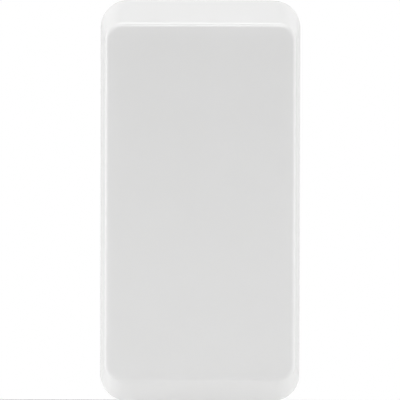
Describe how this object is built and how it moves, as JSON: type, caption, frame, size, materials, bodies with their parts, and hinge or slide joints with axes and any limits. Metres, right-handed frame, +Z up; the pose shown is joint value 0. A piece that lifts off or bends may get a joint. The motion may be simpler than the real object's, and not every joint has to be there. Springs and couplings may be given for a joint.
{
  "type": "rocker wall switch",
  "caption": "White rocker switch module for a wall plate, with a tilting cap, a see-saw contact, snap latches and rising-cage terminals.",
  "frame": {"origin": "centre of the module on the plane where the flange seats on its support frame", "axes": "+X right and +Z up, seen from the front; +Y back into the wall, so the rocker faces -Y"},
  "size_m": [0.0224, 0.0357, 0.0447],
  "materials": {
    "white_gloss": "polished white moulded plastic",
    "carrier_plastic": "light grey engineering plastic, fine matt",
    "plunger_nylon": "natural nylon, satin",
    "frame_plastic": "white moulded plastic, satin",
    "housing_plastic": "off-white thermoset moulding, fine spark-eroded texture",
    "spring_steel": "bright drawn wire",
    "blade_copper": "rolled copper alloy",
    "strip_brass": "stamped brass",
    "contact_silver": "silver alloy",
    "zinc_steel": "bright zinc plate",
    "rivet_steel": "nickel plate"
  },
  "bodies": {
    "base": {"front_frame": "frame_plastic", "housing": "housing_plastic", "rear_cover": "housing_plastic", "assembly_rivets": "rivet_steel", "common_strip": "strip_brass", "line_strip_1": "strip_brass", "line_strip_2": "strip_brass", "fixed_contact_tip_1": "contact_silver", "fixed_contact_tip_2": "contact_silver"},
    "rocker": {"rocker_cap": "white_gloss", "rocker_carrier": "carrier_plastic", "plunger_spring": "spring_steel"},
    "plunger": {"plunger": "plunger_nylon"},
    "blade": {"contact_blade": "blade_copper", "moving_contact_tips": "contact_silver"},
    "cage_common": {"clamp_cage_common": "zinc_steel"},
    "screw_common": {"terminal_screw_common": "zinc_steel"},
    "cage_line_1": {"clamp_cage_line_1": "zinc_steel"},
    "screw_line_1": {"terminal_screw_line_1": "zinc_steel"},
    "cage_line_2": {"clamp_cage_line_2": "zinc_steel"},
    "screw_line_2": {"terminal_screw_line_2": "zinc_steel"}
  },
  "joints": [
    {"name": "rocker_tilt", "type": "hinge", "parent": "base", "child": "rocker", "pos_m": [0, -0.001, 0], "axis": [-1, 0, 0], "range_deg": [0, 6]},
    {"name": "plunger_slide", "type": "slide", "parent": "rocker", "child": "plunger", "axis": [0, -0.9986, -0.0523], "range_m": [0, 0.001], "stiffness_N_per_m": 400, "springref_m": -0.002, "deforming": ["plunger_spring"]},
    {"name": "blade_rock", "type": "hinge", "parent": "base", "child": "blade", "pos_m": [0, 0.012, 0], "axis": [1, 0, 0], "range_deg": [0, 17.25]},
    {"name": "screw_common_turn", "type": "hinge", "parent": "base", "child": "screw_common", "pos_m": [0.0052, 0.02, 0.0153], "axis": [0, -1, 0], "range_deg": [0, 1440]},
    {"name": "cage_common_rise", "type": "slide", "parent": "base", "child": "cage_common", "axis": [0, 1, 0], "range_m": [0, 0.002]},
    {"name": "screw_line_1_turn", "type": "hinge", "parent": "base", "child": "screw_line_1", "pos_m": [-0.0052, 0.02, 0.0153], "axis": [0, -1, 0], "range_deg": [0, 1440]},
    {"name": "cage_line_1_rise", "type": "slide", "parent": "base", "child": "cage_line_1", "axis": [0, 1, 0], "range_m": [0, 0.002]},
    {"name": "screw_line_2_turn", "type": "hinge", "parent": "base", "child": "screw_line_2", "pos_m": [-0.0052, 0.02, -0.0153], "axis": [0, -1, 0], "range_deg": [0, 1440]},
    {"name": "cage_line_2_rise", "type": "slide", "parent": "base", "child": "cage_line_2", "axis": [0, 1, 0], "range_m": [0, 0.002]}
  ],
  "couplings": [
    {"joint": "blade_rock", "follows": "rocker_tilt", "ratio": 2.8756},
    {"joint": "screw_common_turn", "follows": "cage_common_rise", "rad_per_m": 12566},
    {"joint": "screw_line_1_turn", "follows": "cage_line_1_rise", "rad_per_m": 12566},
    {"joint": "screw_line_2_turn", "follows": "cage_line_2_rise", "rad_per_m": 12566}
  ]
}
